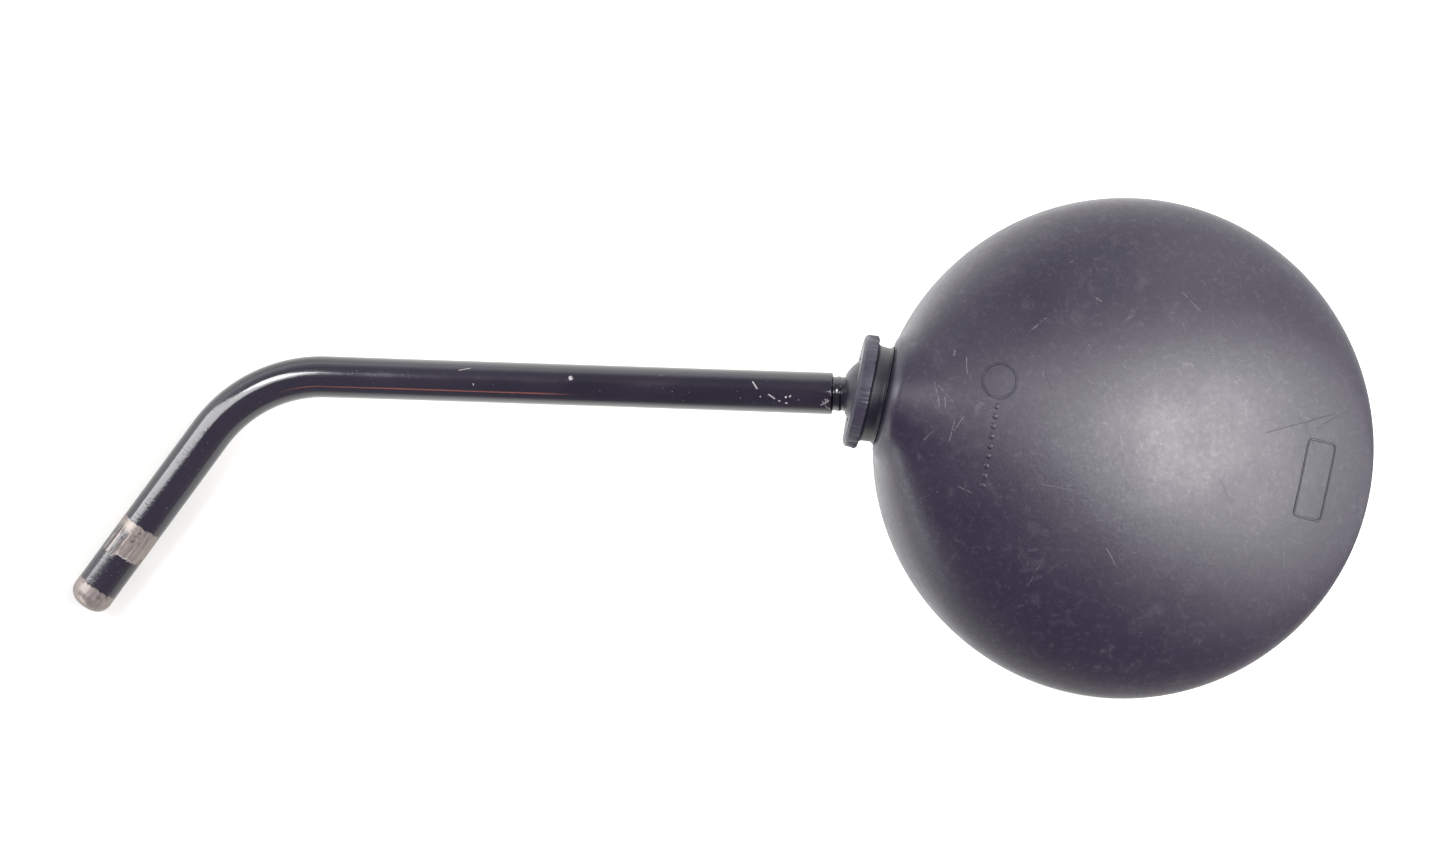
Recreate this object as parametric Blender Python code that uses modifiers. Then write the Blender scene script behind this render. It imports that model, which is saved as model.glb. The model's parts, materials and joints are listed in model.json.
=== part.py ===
"""Round rear-view mirror of a moped on its bent steel stem, lying glass down.

Metres, +Z up. The origin is the centre of the flat end of the stem, the end that a bracket clamps. +X runs
along the straight part of the stem towards the mirror head. The rim of the head and the tip of the stem both
touch the plane that the mirror lies on.

Three frames carry the pieces, each an empty:
  stem_frame  at the ball, -X along the straight stem
  head_frame  at the middle of the rim, in the plane of the rim, -X towards the neck
  neck_frame  at the ball, +Z out of the neck, along the axis of the head's neck
"""

import math

import bmesh
import bpy
from mathutils import Matrix, Vector

MM = 0.001
GAP = 0.3 * MM  # between pieces that touch

# Stem: a painted 10 mm rod, bent once, with a thinner neck and a ball at its end
ROD_RADIUS = 5.15 * MM
NECK_RADIUS = 4.2 * MM
SPIGOT_RADIUS = 3.0 * MM
STEP_TO_BALL = 11.5 * MM
CORNER_TO_BALL = 154.1 * MM
LEG_LENGTH = 71.0 * MM
LEG_ANGLE = math.radians(55.3)
BEND_RADIUS = 34.5 * MM
BEND_STATIONS = 14
TIP_ROUNDING = 3.2 * MM
TIP_STATIONS = 5
STEP_CHAMFER = 0.3 * MM
STEP_DROP = 0.05 * MM
ROD_BEVEL_RESOLUTION = 8

# Ball joint, from the ball outwards
BALL_RADIUS = 6.5 * MM
BALL_FLAT = 5.0 * MM  # height of the flat where the stem's neck meets the ball
BALL_BORE_DEPTH = 4.5 * MM
LINER_INNER = 6.65 * MM
LINER_OUTER = 7.25 * MM
LINER_MOUTH_ANGLE = math.radians(52)
SEAT_RADIUS = 7.45 * MM
NOSE_RADIUS = 8.6 * MM
NOSE_FRONT = 4.6 * MM
CAP_INNER = 8.85 * MM
CAP_OUTER = 9.55 * MM
CAP_EDGE_ANGLE = math.radians(63)
CAP_HOLE = NECK_RADIUS + GAP
GROMMET_SEAT = 9.8 * MM  # radius of the hollow in the grommet that the cap turns in

# Head
HEAD_YAW = math.radians(-10.1)
HEAD_RADIUS = 61.9 * MM
BALL_TO_HEAD = 62.2 * MM
BALL_HEIGHT = 17.5 * MM  # above the plane of the rim
RIM_BAND = 5.0 * MM  # height of the upright band round the rim
CREST_HEIGHT = 34.0 * MM
CREST_X = -41.0 * MM
FACE_X = -61.2 * MM  # the flat face that the neck's collar ends in
COLLAR_RADIUS = 16.1 * MM
COLLAR_END = -56.0 * MM
COLLAR_TAPER = 0.25
COLLAR_BLEND = 2.0 * MM
WALL = 2.2 * MM
INNER_BAND = 4.2 * MM
LIP_THICKNESS = 1.2 * MM
LIP_RADIUS = 55.2 * MM
SHELL_STATIONS = 28
SHELL_ARCH = 22
LAST_STATION = math.radians(177)

# Behind the glass
GLASS_RADIUS = 57.7 * MM
GLASS_THICKNESS = 2.5 * MM
GLASS_CURVATURE = 1200.0 * MM
GLASS_LOWEST = 0.3 * MM
PAD_RADIUS = 50.0 * MM
PLATE_RADIUS = 46.0 * MM
PLATE_BOTTOM = 7.0 * MM
PLATE_THICKNESS = 1.2 * MM
PLATE_TOP = PLATE_BOTTOM + PLATE_THICKNESS
DISC_STEPS = 48
DISH_STEPS = 5

# Grommet round the neck: distances along the neck's axis from the ball
DISC_RADIUS = 13.85 * MM
DISC_OUTER = 6.5 * MM
DISC_INNER = 3.1 * MM
DISC_EDGE = 0.6 * MM
GROOVE_RADIUS = 11.75 * MM
HOLE_RADIUS = 11.0 * MM
NECK_HOLE_DEPTH = 6.0 * MM  # how far the hole's cutter reaches to each side of the ball
GROMMET_BORE = 9.6 * MM
FLANGE_RADIUS = 12.8 * MM
FLANGE_THICKNESS = 2.5 * MM
FACE_U = FACE_X + BALL_TO_HEAD  # the neck's face is this far behind the ball, towards the head
CAP_SWEEP = 1.9 * MM  # how far back the edge of the tilted cap comes

# Socket, a clamp of two halves
SOCKET_RADIUS = 9.3 * MM
SOCKET_SHOULDER = 1.5 * MM
TONGUE_BACK = -43.6 * MM
TONGUE_FRONT = -54.9 * MM
TONGUE_HALF_WIDTH = 14.0 * MM
UPPER_TONGUE = 4.35 * MM
LOWER_TONGUE = 4.5 * MM
FOOT_BACK = -25.0 * MM
FOOT_FRONT = -43.5 * MM
FOOT_THICKNESS = 3.4 * MM
PILLAR_BACK = -36.0 * MM
SPLIT = 0.15 * MM  # half the gap between the halves

# Fasteners: shank radius, head radius, head height
CLAMP_SCREW = (2.0 * MM, 3.5 * MM, 2.6 * MM)
PLATE_SCREW = (1.7 * MM, 3.6 * MM, 1.4 * MM)
SHELL_SCREW = (1.35 * MM, 3.2 * MM, 1.4 * MM)
CLAMP_X = -50.0 * MM
CLAMP_Y = 9.5 * MM
NUT_HEIGHT = 3.2 * MM
NUT_RADIUS = 4.0 * MM
WASHER_THICKNESS = 0.9 * MM
WASHER_RADIUS = 3.6 * MM
WASHER_SLOT = 0.7 * MM
PLATE_SCREW_X = -30.5 * MM
PLATE_SCREW_Y = 9.0 * MM
PLATE_SCREW_TOP = 11.4 * MM
BOSS_RADIUS = 4.0 * MM
BOSS_PLACES = {"right": (34.0 * MM, 0.0), "upper": (-15.0 * MM, 33.0 * MM), "lower": (-15.0 * MM, -33.0 * MM)}
BOSS_SCREW_LENGTH = 6.0 * MM
TURN_STEPS = 24
SCREW_STEPS = 16
ARC_STEPS = 10  # round the ball and its liner
SEAT_STEPS = 14
CAP_STEPS = 5
NOSE_STEPS = 4

MERGE = 0.00001
FAR = 100.0 * MM  # longer than any cut


# ---- scene, materials and small helpers

def clear_scene():
    for item in list(bpy.data.objects):
        bpy.data.objects.remove(item, do_unlink=True)


def new_collection(name):
    collection = bpy.data.collections.new(name)
    bpy.context.scene.collection.children.link(collection)
    return collection


def new_material(name, colour, roughness, metallic=0.0):
    material = bpy.data.materials.new(name)
    material.use_nodes = True
    shader = material.node_tree.nodes["Principled BSDF"]
    shader.inputs["Base Color"].default_value = (*colour, 1.0)
    shader.inputs["Roughness"].default_value = roughness
    shader.inputs["Metallic"].default_value = metallic
    return material


def new_empty(name, location, rotation, parent=None):
    empty = bpy.data.objects.new(name, None)
    empty.location = location
    empty.rotation_euler = rotation
    empty.parent = parent
    PARTS.objects.link(empty)
    return empty


def add_object(name, data, material=None, parent=None, location=(0, 0, 0), rotation=(0, 0, 0)):
    """Puts a mesh or curve among the parts, or among the cutters if it has no material."""
    item = bpy.data.objects.new(name, data)
    item.location = location
    item.rotation_euler = rotation
    item.parent = parent
    if material:
        data.materials.append(material)
        PARTS.objects.link(item)
    else:
        CUTTERS.objects.link(item)
        item.hide_render = True
        item.display_type = "WIRE"
    return item


def smooth(item, angle=30):
    item.data.shade_smooth()
    item.data.set_sharp_from_angle(angle=math.radians(angle))


def boolean(item, other, operation="DIFFERENCE"):
    modifier = item.modifiers.new(operation.title() + "_" + other.name, "BOOLEAN")
    modifier.operation = operation
    modifier.object = other
    modifier.solver = "EXACT"


def turned_mesh(name, profile, closed=False):
    """A mesh of the profile's edges, (radius, height) pairs that run top to bottom down the outer side."""
    points = [(radius, 0.0, height) for radius, height in profile]
    edges = [(i, i + 1) for i in range(len(points) - 1)]
    if closed:
        edges.append((len(points) - 1, 0))
    mesh = bpy.data.meshes.new(name)
    mesh.from_pydata(points, edges, [])
    return mesh


def turned(name, profile, material=None, closed=False, steps=TURN_STEPS, **place):
    item = add_object(name, turned_mesh(name, profile, closed), material, **place)
    screw = item.modifiers.new("Turn", "SCREW")
    screw.steps = steps
    screw.render_steps = steps
    screw.use_merge_vertices = True
    screw.merge_threshold = MERGE
    screw.use_smooth_shade = True
    return item


def arc(radius, start, end, count):
    """Points (radius, height) on a circle about the origin, by angle from the turning axis."""
    angles = [start + (end - start) * i / count for i in range(count + 1)]
    return [(radius * math.sin(a), radius * math.cos(a)) for a in angles]


def solid_cylinder(name, radius, bottom, top, steps=TURN_STEPS, material=None, **place):
    mesh = bpy.data.meshes.new(name)
    work = bmesh.new()
    bmesh.ops.create_cone(
        work, cap_ends=True, segments=steps, radius1=radius, radius2=radius, depth=top - bottom)
    bmesh.ops.translate(work, vec=(0.0, 0.0, (top + bottom) / 2), verts=work.verts)
    work.to_mesh(mesh)
    work.free()
    item = add_object(name, mesh, material, **place)
    smooth(item)
    return item


def box(name, low, high, material=None, parent=None):
    low, high = Vector(low), Vector(high)
    mesh = bpy.data.meshes.new(name)
    work = bmesh.new()
    bmesh.ops.create_cube(work, size=1.0)
    bmesh.ops.scale(work, vec=high - low, verts=work.verts)
    bmesh.ops.translate(work, vec=(low + high) / 2, verts=work.verts)
    work.to_mesh(mesh)
    work.free()
    return add_object(name, mesh, material, parent)


# ---- the shell's form

def crest(x):
    """Height of the shell's back along its middle: highest near the neck, falling to the far rim."""
    along = (x - CREST_X) / (HEAD_RADIUS - CREST_X)
    return RIM_BAND + (CREST_HEIGHT - RIM_BAND) * (1.0 - along * along)


def smooth_max(a, b, blend):
    reach = max(blend - abs(a - b), 0.0) / blend
    return max(a, b) + blend * reach * reach / 4.0


def with_collar(point, x, inset):
    """Pushes a point of the cross section at x out to the neck's collar, where the collar stands proud."""
    y, z = point
    rise = z - BALL_HEIGHT
    distance = math.hypot(y, rise)
    collar = COLLAR_RADIUS - inset - COLLAR_TAPER * max(x - COLLAR_END, 0.0)
    wanted = smooth_max(distance, collar, COLLAR_BLEND)
    return (y * wanted / distance, BALL_HEIGHT + rise * wanted / distance)


def arch(x, radius, band, bottom, inset):
    """The cross section at x: upright sides, then half an ellipse over the top."""
    half_width = math.sqrt(radius * radius - x * x)
    height = max(crest(x) - inset - band, GAP)
    points = [(half_width, bottom)]
    for i in range(SHELL_ARCH + 1):
        turn = math.pi * i / SHELL_ARCH
        points.append((half_width * math.cos(turn), band + height * math.sin(turn)))
    points.append((-half_width, bottom))
    if x < COLLAR_END + 2 * COLLAR_RADIUS:
        points = [points[0]] + [with_collar(p, x, inset) for p in points[1:-1]] + [points[-1]]
    return points


def hood_mesh(name, face, radius, band, bottom, inset):
    """A closed loft of cross sections from the neck's face to the far rim, on a flat bottom."""
    first = math.acos(-face / radius)
    turns = [first + (LAST_STATION - first) * i / SHELL_STATIONS for i in range(SHELL_STATIONS + 1)]
    mesh = bpy.data.meshes.new(name)
    work = bmesh.new()
    rings = []
    for turn in turns:
        x = -radius * math.cos(turn)
        rings.append([work.verts.new((x, y, z)) for y, z in arch(x, radius, band, bottom, inset)])
    for near, far in zip(rings, rings[1:]):
        for i in range(len(near)):
            j = (i + 1) % len(near)
            work.faces.new((near[i], near[j], far[j], far[i]))
    work.faces.new(list(reversed(rings[0])))
    work.faces.new(rings[-1])
    bmesh.ops.recalc_face_normals(work, faces=work.faces)
    work.to_mesh(mesh)
    work.free()
    return mesh


# ---- the stem

def stem_path():
    """Points (place, radius) of the stem's centre line in stem_frame, from the clamped tip to the spigot."""
    along = Vector((-math.cos(LEG_ANGLE), -math.sin(LEG_ANGLE), 0.0))
    corner = Vector((-CORNER_TO_BALL, 0.0, 0.0))
    tip = corner + along * LEG_LENGTH
    points = []
    flat = ROD_RADIUS - TIP_ROUNDING
    for i in range(TIP_STATIONS + 1):
        turn = math.pi / 2 * i / TIP_STATIONS
        depth = TIP_ROUNDING * (1.0 - math.cos(turn))
        points.append((tip - along * depth, flat + TIP_ROUNDING * math.sin(turn)))
    tangent = BEND_RADIUS * math.tan(LEG_ANGLE / 2)
    centre = corner + Vector((tangent, -BEND_RADIUS, 0.0))
    for i in range(BEND_STATIONS + 1):
        turn = LEG_ANGLE * (1.0 - i / BEND_STATIONS)
        spoke = Vector((-math.sin(turn), math.cos(turn), 0.0)) * BEND_RADIUS
        points.append((centre + spoke, ROD_RADIUS))
    neck_end = -BALL_FLAT - GAP
    for x, radius in (
        (-STEP_TO_BALL - STEP_CHAMFER, ROD_RADIUS),
        (-STEP_TO_BALL, ROD_RADIUS - STEP_CHAMFER),
        (-STEP_TO_BALL + STEP_DROP, NECK_RADIUS),
        (neck_end, NECK_RADIUS),
        (neck_end + STEP_DROP, SPIGOT_RADIUS),
        (BALL_BORE_DEPTH - GAP, SPIGOT_RADIUS),
    ):
        points.append((Vector((x, 0.0, 0.0)), radius))
    return points


def stem_slope():
    """The slope that brings the stem's tip down to the plane of the rim."""
    reach = CORNER_TO_BALL + (LEG_LENGTH - TIP_ROUNDING) * math.cos(LEG_ANGLE)
    return math.asin((BALL_HEIGHT - ROD_RADIUS) / reach)


def make_stem_rod(material, frame):
    curve = bpy.data.curves.new("stem_rod", "CURVE")
    curve.dimensions = "3D"
    curve.twist_mode = "Z_UP"
    curve.bevel_depth = ROD_RADIUS
    curve.bevel_resolution = ROD_BEVEL_RESOLUTION
    curve.use_fill_caps = True
    path = stem_path()
    spline = curve.splines.new("POLY")
    spline.points.add(len(path) - 1)
    for point, (place, radius) in zip(spline.points, path):
        point.co = (*place, 1.0)
        point.radius = radius / ROD_RADIUS
    add_object("stem_rod", curve, material, frame)


def make_stem_ball(material, frame):
    """The ball pressed on the stem's spigot. Its axis is turned to run along the stem."""
    bore = SPIGOT_RADIUS + GAP
    flat_angle = math.acos(BALL_FLAT / BALL_RADIUS)
    outside = arc(BALL_RADIUS, flat_angle, math.pi, ARC_STEPS)
    profile = [(bore, BALL_FLAT)] + outside[:-1] + [(0.0, -BALL_RADIUS), (0.0, -BALL_BORE_DEPTH)]
    profile.append((bore, -BALL_BORE_DEPTH))
    turned("stem_ball", profile, material, closed=True, parent=frame, rotation=(0, -math.pi / 2, 0))


def make_dust_cap(material, frame):
    """A thin spherical cap with a hole for the stem's neck, turning in the mouth of the grommet."""
    outer = arc(CAP_OUTER, math.asin(CAP_HOLE / CAP_OUTER), CAP_EDGE_ANGLE, CAP_STEPS)
    inner = arc(CAP_INNER, CAP_EDGE_ANGLE, math.asin(CAP_HOLE / CAP_INNER), CAP_STEPS)
    turned("dust_cap", outer + inner, material, closed=True, parent=frame, rotation=(0, -math.pi / 2, 0))


def make_ball_liner(material, frame):
    outer = arc(LINER_OUTER, LINER_MOUTH_ANGLE, math.pi, ARC_STEPS)
    inner = arc(LINER_INNER, math.pi, LINER_MOUTH_ANGLE, ARC_STEPS)
    turned("ball_liner", outer + inner, material, closed=True, parent=frame, rotation=(0, -math.pi / 2, 0))


# ---- the head

def make_shell(material, frame):
    outer = hood_mesh("shell", FACE_X, HEAD_RADIUS, RIM_BAND, 0.0, 0.0)
    inner = hood_mesh("cavity", FACE_X + WALL, HEAD_RADIUS - WALL, INNER_BAND, LIP_THICKNESS, WALL)
    shell = add_object("shell", outer, material, frame)
    cavity = add_object("cavity", inner, None, frame)
    for name, place in BOSS_PLACES.items():
        boss = solid_cylinder("boss_" + name, BOSS_RADIUS, PLATE_TOP + GAP, FAR, parent=frame, location=(*place, 0))
        boolean(cavity, boss)
    boolean(shell, cavity)
    opening = solid_cylinder(
        "glass_opening", LIP_RADIUS, -LIP_THICKNESS, 2 * LIP_THICKNESS, steps=DISC_STEPS, parent=frame)
    boolean(shell, opening)
    place = (-BALL_TO_HEAD, 0.0, BALL_HEIGHT)
    hole = solid_cylinder("neck_hole", HOLE_RADIUS, -NECK_HOLE_DEPTH, NECK_HOLE_DEPTH, parent=frame, location=place)
    hole.rotation_euler = (0.0, -math.pi / 2, 0.0)
    boolean(shell, hole)
    for name, place in BOSS_PLACES.items():
        hole = screw_hole("pilot_" + name, SHELL_SCREW, place, 0.0, boss_screw_top() + GAP, frame)
        boolean(shell, hole)


def screw_hole(name, screw, place, bottom, top, frame):
    radius = screw[0] + GAP
    return solid_cylinder(name, radius, bottom, top, steps=SCREW_STEPS, parent=frame, location=(*place, 0))


def boss_screw_top():
    return PLATE_TOP + BOSS_SCREW_LENGTH


def glass_front(radius):
    return GLASS_LOWEST + radius * radius / (2 * GLASS_CURVATURE)


def dished(edge, height):
    """Profile points from the axis to an edge, at a height above the glass's front."""
    radii = [edge * i / DISH_STEPS for i in range(DISH_STEPS + 1)]
    return [(radius, glass_front(radius) + height) for radius in radii]


def make_mirror_glass(material, frame):
    profile = dished(GLASS_RADIUS, GLASS_THICKNESS) + list(reversed(dished(GLASS_RADIUS, 0.0)))
    turned("mirror_glass", profile, material, steps=DISC_STEPS, parent=frame)


def make_glass_pad(material, frame):
    top = PLATE_BOTTOM - GAP
    profile = [(0.0, top), (PAD_RADIUS, top)]
    profile += list(reversed(dished(PAD_RADIUS, GLASS_THICKNESS + GAP)))
    pad = turned("glass_pad", profile, material, steps=DISC_STEPS, parent=frame)
    for name, screw, place in screws_through_plate():
        radius = screw[1] + 2 * GAP
        hole = solid_cylinder(
            "pad_hole_" + name, radius, 0.0, PLATE_TOP, steps=SCREW_STEPS, parent=frame, location=(*place, 0))
        boolean(pad, hole)


def screws_through_plate():
    """Name, size and place of each screw whose head is under the plate."""
    yield "plate_screw_left", PLATE_SCREW, (PLATE_SCREW_X, PLATE_SCREW_Y)
    yield "plate_screw_right", PLATE_SCREW, (PLATE_SCREW_X, -PLATE_SCREW_Y)
    for name, place in BOSS_PLACES.items():
        yield "shell_screw_" + name, SHELL_SCREW, place


def make_support_plate(material, frame):
    plate = solid_cylinder(
        "support_plate", PLATE_RADIUS, PLATE_BOTTOM, PLATE_TOP, steps=DISC_STEPS, material=material, parent=frame)
    for name, screw, place in screws_through_plate():
        boolean(plate, screw_hole("plate_hole_" + name, screw, place, 0.0, FAR, frame))


def make_neck_grommet(material, frame):
    """Outer disc, groove, the part in the shell's hole and the flange behind it, with a hollow for the cap."""
    face = -FACE_U
    flange_front = face - WALL - GAP
    flange_back = flange_front - FLANGE_THICKNESS
    in_hole = HOLE_RADIUS - GAP
    outside = [
        (DISC_RADIUS - DISC_EDGE, DISC_OUTER),
        (DISC_RADIUS, DISC_OUTER - DISC_EDGE),
        (DISC_RADIUS, DISC_INNER + DISC_EDGE),
        (DISC_RADIUS - DISC_EDGE, DISC_INNER),
        (GROOVE_RADIUS + DISC_EDGE, DISC_INNER - DISC_EDGE / 2),
        (GROOVE_RADIUS, DISC_INNER - 3 * DISC_EDGE),
        (GROOVE_RADIUS, face + 2 * DISC_EDGE),
        (GROOVE_RADIUS + DISC_EDGE / 2, face + GAP),
        (in_hole, face + GAP),
        (in_hole, flange_front),
        (FLANGE_RADIUS, flange_front),
        (FLANGE_RADIUS, flange_back),
        (GROMMET_BORE, flange_back),
    ]
    inside = arc(GROMMET_SEAT, math.acos(CAP_SWEEP / GROMMET_SEAT), math.acos(DISC_OUTER / GROMMET_SEAT), CAP_STEPS)
    turned("neck_grommet", outside + inside, material, closed=True, parent=frame)


def socket_core(name, material, neck):
    """The round body of the socket about the neck's axis, still in one piece, with its hollow for the liner."""
    nose_angle = math.acos(NOSE_FRONT / NOSE_RADIUS)
    shoulder_angle = math.acos(SOCKET_SHOULDER / NOSE_RADIUS)
    back = BALL_TO_HEAD + TONGUE_FRONT
    nose = arc(NOSE_RADIUS, nose_angle, shoulder_angle, NOSE_STEPS)
    profile = [(0.0, NOSE_FRONT)] + nose
    profile += [(SOCKET_RADIUS, SOCKET_SHOULDER), (SOCKET_RADIUS, -back - GAP), (0.0, -back - GAP)]
    core = turned(name, profile, material, parent=neck)
    seat = turned("seat_" + name, arc(SEAT_RADIUS, 0.0, math.pi, SEAT_STEPS), parent=neck)
    boolean(core, seat)
    return core


def make_socket_half(name, sign, material, head, neck):
    """One half of the clamp. sign is +1 for the half on the shell's side and -1 for the half on the plate's."""
    half = socket_core(name, material, neck)
    middle = BALL_HEIGHT
    if sign > 0:
        tongue = box("tongue_" + name, (TONGUE_FRONT, -TONGUE_HALF_WIDTH, middle - SPLIT),
                     (TONGUE_BACK, TONGUE_HALF_WIDTH, middle + UPPER_TONGUE), parent=head)
    else:
        tongue = box("tongue_" + name, (TONGUE_FRONT, -TONGUE_HALF_WIDTH, middle - LOWER_TONGUE),
                     (PILLAR_BACK, TONGUE_HALF_WIDTH, middle + SPLIT), parent=head)
    boolean(half, tongue, "UNION")
    if sign < 0:
        pillar = box("pillar_" + name, (FOOT_FRONT, -TONGUE_HALF_WIDTH + GAP, PLATE_TOP + GAP),
                     (PILLAR_BACK - GAP, TONGUE_HALF_WIDTH - GAP, middle), parent=head)
        boolean(half, pillar, "UNION")
        foot = box("foot_" + name, (FOOT_FRONT + GAP, -TONGUE_HALF_WIDTH, PLATE_TOP + GAP),
                   (FOOT_BACK, TONGUE_HALF_WIDTH, PLATE_TOP + GAP + FOOT_THICKNESS), parent=head)
        boolean(half, foot, "UNION")
    edge = middle + sign * SPLIT
    other_side = box("split_" + name, (-FAR, -FAR, edge - FAR), (FAR, FAR, edge), parent=head)
    if sign < 0:
        other_side.location.z = FAR
    boolean(half, other_side)
    for y in (CLAMP_Y, -CLAMP_Y):
        side = "left" if y > 0 else "right"
        hole = screw_hole(f"hole_{name}_{side}", CLAMP_SCREW, (CLAMP_X, y), -FAR, FAR, head)
        boolean(half, hole)
    return half


def make_sockets(material, head, neck):
    make_socket_half("socket_upper", 1, material, head, neck)
    lower = make_socket_half("socket_lower", -1, material, head, neck)
    for y in (PLATE_SCREW_Y, -PLATE_SCREW_Y):
        side = "left" if y > 0 else "right"
        hole = screw_hole("foot_hole_" + side, PLATE_SCREW, (PLATE_SCREW_X, y), 0.0, FAR, head)
        boolean(lower, hole)


# ---- fasteners

def screw_profile(screw, length):
    """A screw standing on its point, its head on top: domed head, then shank."""
    shank, head, height = screw
    edge = height / 3
    return [
        (0.0, length + height),
        (head - edge, length + height),
        (head, length + height - edge),
        (head, length),
        (shank, length),
        (shank, edge),
        (shank - edge, 0.0),
        (0.0, 0.0),
    ]


def make_plate_screws(material, frame):
    """Screws put in from below, so each is turned upside down."""
    for name, screw, place in screws_through_plate():
        top = boss_screw_top() if name.startswith("shell") else PLATE_SCREW_TOP
        length = top - (PLATE_BOTTOM - GAP)
        turned(name, screw_profile(screw, length), material, steps=SCREW_STEPS, parent=frame,
               location=(*place, top), rotation=(math.pi, 0, 0))


def make_clamp_fasteners(material, frame):
    upper_face = BALL_HEIGHT + UPPER_TONGUE
    lower_face = BALL_HEIGHT - LOWER_TONGUE
    shank = CLAMP_SCREW[0]
    for side, y in (("left", CLAMP_Y), ("right", -CLAMP_Y)):
        bottom = lower_face - GAP - NUT_HEIGHT - GAP
        head_seat = upper_face + WASHER_THICKNESS + 2 * GAP
        turned("clamp_screw_" + side, screw_profile(CLAMP_SCREW, head_seat - bottom), material,
               steps=SCREW_STEPS, parent=frame, location=(CLAMP_X, y, bottom))
        washer_low = upper_face + GAP
        ring = [(WASHER_RADIUS, washer_low + WASHER_THICKNESS), (WASHER_RADIUS, washer_low)]
        ring += [(shank + GAP, washer_low), (shank + GAP, washer_low + WASHER_THICKNESS)]
        washer = turned("spring_washer_" + side, ring, material, closed=True, steps=SCREW_STEPS,
                        parent=frame, location=(CLAMP_X, y, 0))
        slot = box("washer_slot_" + side, (CLAMP_X, y - WASHER_SLOT / 2, 0),
                   (CLAMP_X + 2 * WASHER_RADIUS, y + WASHER_SLOT / 2, FAR), parent=frame)
        boolean(washer, slot)
        nut = solid_cylinder("clamp_nut_" + side, NUT_RADIUS, lower_face - GAP - NUT_HEIGHT, lower_face - GAP,
                             steps=6, material=material, parent=frame, location=(CLAMP_X, y, 0))
        bore = screw_hole("nut_bore_" + side, CLAMP_SCREW, (CLAMP_X, y), 0.0, BALL_HEIGHT, frame)
        boolean(nut, bore)


# ---- all together

def make_mirror():
    black_paint = new_material("black_stem_paint", (0.012, 0.012, 0.016), 0.25)
    bare_steel = new_material("bare_steel", (0.45, 0.43, 0.40), 0.35, 1.0)
    zinc = new_material("zinc_plated_steel", (0.62, 0.62, 0.60), 0.3, 1.0)
    shell_plastic = new_material("black_shell_plastic", (0.035, 0.034, 0.042), 0.55)
    rubber = new_material("black_rubber", (0.03, 0.03, 0.034), 0.7)
    nylon = new_material("white_nylon", (0.75, 0.73, 0.66), 0.5)
    foam = new_material("grey_foam", (0.25, 0.25, 0.25), 0.9)
    silvered = new_material("silvered_glass", (0.9, 0.92, 0.92), 0.03, 1.0)

    slope = stem_slope()
    tip = Matrix.Rotation(-slope, 3, "Y") @ Vector((
        -CORNER_TO_BALL - LEG_LENGTH * math.cos(LEG_ANGLE), -LEG_LENGTH * math.sin(LEG_ANGLE), 0.0))
    ball = -tip
    neck_direction = Vector((math.cos(HEAD_YAW), math.sin(HEAD_YAW), 0.0))
    head_middle = ball + neck_direction * BALL_TO_HEAD - Vector((0.0, 0.0, BALL_HEIGHT))

    stem_frame = new_empty("stem_frame", ball, (0.0, -slope, 0.0))
    liner_frame = new_empty("liner_frame", ball, (0.0, 0.0, 0.0))
    head_frame = new_empty("head_frame", head_middle, (0.0, 0.0, HEAD_YAW))
    neck_frame = new_empty("neck_frame", (-BALL_TO_HEAD, 0.0, BALL_HEIGHT), (0.0, -math.pi / 2, 0.0), head_frame)

    make_stem_rod(black_paint, stem_frame)
    make_stem_ball(bare_steel, stem_frame)
    make_dust_cap(rubber, stem_frame)
    make_ball_liner(nylon, liner_frame)
    make_shell(shell_plastic, head_frame)
    make_mirror_glass(silvered, head_frame)
    make_glass_pad(foam, head_frame)
    make_support_plate(zinc, head_frame)
    make_neck_grommet(rubber, neck_frame)
    make_sockets(nylon, head_frame, neck_frame)
    make_plate_screws(zinc, head_frame)
    make_clamp_fasteners(zinc, head_frame)
    bpy.context.view_layer.update()


clear_scene()
PARTS = new_collection("moped_mirror")
CUTTERS = new_collection("moped_mirror_cutters")
make_mirror()
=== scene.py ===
"""The looks of the moped mirror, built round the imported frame. Metres, +Z up.

The mirror lies glass down. Its stem, dust cap, grommet, shell and glass are made here as fine meshes, in
place of the plain CAD nodes. The pieces inside the shell are the CAD nodes, with better materials.
"""

import json
import math

import bmesh
import bpy
from mathutils import Matrix, Vector, noise


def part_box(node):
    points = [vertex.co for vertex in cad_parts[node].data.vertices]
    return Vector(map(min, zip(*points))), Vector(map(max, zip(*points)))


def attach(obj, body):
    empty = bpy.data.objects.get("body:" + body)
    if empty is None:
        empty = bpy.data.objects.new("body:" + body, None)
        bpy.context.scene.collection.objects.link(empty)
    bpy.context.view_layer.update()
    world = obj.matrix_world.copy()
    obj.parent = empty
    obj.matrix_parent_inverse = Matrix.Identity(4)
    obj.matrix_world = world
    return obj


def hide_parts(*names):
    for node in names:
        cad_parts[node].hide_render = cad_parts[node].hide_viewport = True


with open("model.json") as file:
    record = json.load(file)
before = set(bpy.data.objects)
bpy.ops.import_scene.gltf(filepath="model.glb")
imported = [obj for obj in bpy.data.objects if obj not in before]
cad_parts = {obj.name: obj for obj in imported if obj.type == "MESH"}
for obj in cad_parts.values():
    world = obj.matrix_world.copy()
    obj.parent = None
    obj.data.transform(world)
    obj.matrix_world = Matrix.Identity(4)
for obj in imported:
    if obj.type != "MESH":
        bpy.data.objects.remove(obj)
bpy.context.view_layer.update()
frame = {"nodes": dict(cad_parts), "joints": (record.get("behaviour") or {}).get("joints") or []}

MM = 0.001

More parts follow.
